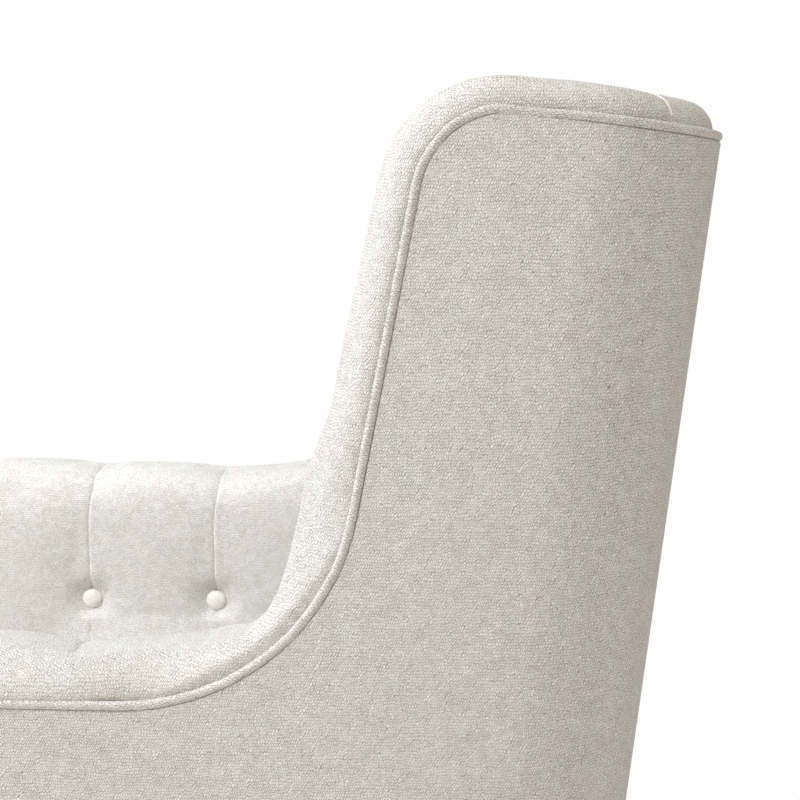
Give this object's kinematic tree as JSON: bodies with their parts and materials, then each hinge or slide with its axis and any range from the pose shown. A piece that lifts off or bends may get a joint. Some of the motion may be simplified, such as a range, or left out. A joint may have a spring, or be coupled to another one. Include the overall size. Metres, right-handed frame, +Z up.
{
  "type": "swivel glider chair",
  "caption": "Upholstered wing chair with buttoned arms and back, welted edges and a loose seat cushion, that turns on a ball race and glides on swing links",
  "frame": {"origin": "on the floor, on the swivel axis", "axes": "+Z up, the sitter faces -Y, +X is their left"},
  "size_m": [0.7332, 0.7738, 1.0475],
  "materials": {
    "cover_fabric": "matte",
    "welt_fabric": "matte",
    "deck_cloth": "matte",
    "webbing": "matte",
    "frame_wood": "matte",
    "black_steel": "satin",
    "zinc_steel": "satin",
    "nylon": "matte",
    "stop_rubber": "matte"
  },
  "bodies": {
    "base": {"floor_ring": "black_steel", "floor_glides": "nylon", "base_cross": "black_steel", "swivel_lower_race": "zinc_steel", "race_rivets": "zinc_steel"},
    "ball_cage": {"bearing_balls": "zinc_steel", "ball_retainer": "nylon"},
    "carriage": {"swivel_upper_race": "zinc_steel", "swivel_pin": "zinc_steel", "carriage_plate": "black_steel", "carriage_rivets": "zinc_steel", "hanger_bracket_left": "black_steel", "hanger_bracket_right": "black_steel", "upper_pivot_bolts": "zinc_steel", "upper_pivot_nuts": "zinc_steel", "glide_stops": "stop_rubber"},
    "link_front_left": {"glide_link_front_left": "black_steel", "link_bushes_front_left": "nylon"},
    "link_front_right": {"glide_link_front_right": "black_steel", "link_bushes_front_right": "nylon"},
    "link_rear_left": {"glide_link_rear_left": "black_steel", "link_bushes_rear_left": "nylon"},
    "link_rear_right": {"glide_link_rear_right": "black_steel", "link_bushes_rear_right": "nylon"},
    "seat": {"arm_buttons_left": "welt_fabric", "arm_buttons_right": "welt_fabric", "arm_front_left": "cover_fabric", "arm_front_right": "cover_fabric", "back_buttons": "welt_fabric", "back_lumbar_rail": "frame_wood", "back_top_rail": "frame_wood", "back_webbing": "webbing", "corner_blocks": "frame_wood", "cushion_piping": "welt_fabric", "front_border": "cover_fabric", "front_rail": "frame_wood", "inside_arm_left": "cover_fabric", "inside_arm_right": "cover_fabric", "inside_back": "cover_fabric", "lower_pivot_bolts": "zinc_steel", "lower_pivot_nuts": "zinc_steel", "mounting_rail_left": "frame_wood", "mounting_rail_right": "frame_wood", "outer_back": "cover_fabric", "outer_side_left": "cover_fabric", "outer_side_right": "cover_fabric", "rail_ears": "black_steel", "rail_screws": "zinc_steel", "rear_rail": "frame_wood", "seat_cushion": "cover_fabric", "seat_deck": "deck_cloth", "seat_rail_left": "black_steel", "seat_rail_right": "black_steel", "seat_webbing": "webbing", "shell_piping": "welt_fabric", "side_frame_left": "frame_wood", "side_frame_right": "frame_wood"}
  },
  "joints": [
    {"name": "swivel", "type": "hinge", "parent": "base", "child": "carriage", "pos_m": [0, 0, 0.043], "axis": [0, 0, 1], "continuous": true},
    {"name": "ball_cage_turn", "type": "hinge", "parent": "base", "child": "ball_cage", "pos_m": [0, 0, 0.043], "axis": [0, 0, 1], "continuous": true},
    {"name": "glide", "type": "hinge", "parent": "carriage", "child": "link_front_left", "pos_m": [0.16, -0.12, 0.21], "axis": [1, 0, 0], "range_deg": [-28, 28]},
    {"name": "seat_pivot", "type": "hinge", "parent": "link_front_left", "child": "seat", "pos_m": [0.16, -0.12, 0.1], "axis": [1, 0, 0], "range_deg": [-28, 28]},
    {"name": "link_front_right_swing", "type": "hinge", "parent": "carriage", "child": "link_front_right", "pos_m": [-0.16, -0.12, 0.21], "axis": [1, 0, 0], "range_deg": [-28, 28]},
    {"name": "link_rear_left_swing", "type": "hinge", "parent": "carriage", "child": "link_rear_left", "pos_m": [0.16, 0.12, 0.21], "axis": [1, 0, 0], "range_deg": [-28, 28]},
    {"name": "link_rear_right_swing", "type": "hinge", "parent": "carriage", "child": "link_rear_right", "pos_m": [-0.16, 0.12, 0.21], "axis": [1, 0, 0], "range_deg": [-28, 28]}
  ],
  "couplings": [
    {"joint": "ball_cage_turn", "follows": "swivel", "ratio": 0.5},
    {"joint": "seat_pivot", "follows": "glide", "ratio": -1},
    {"joint": "link_front_right_swing", "follows": "glide", "ratio": 1},
    {"joint": "link_rear_left_swing", "follows": "glide", "ratio": 1},
    {"joint": "link_rear_right_swing", "follows": "glide", "ratio": 1}
  ]
}
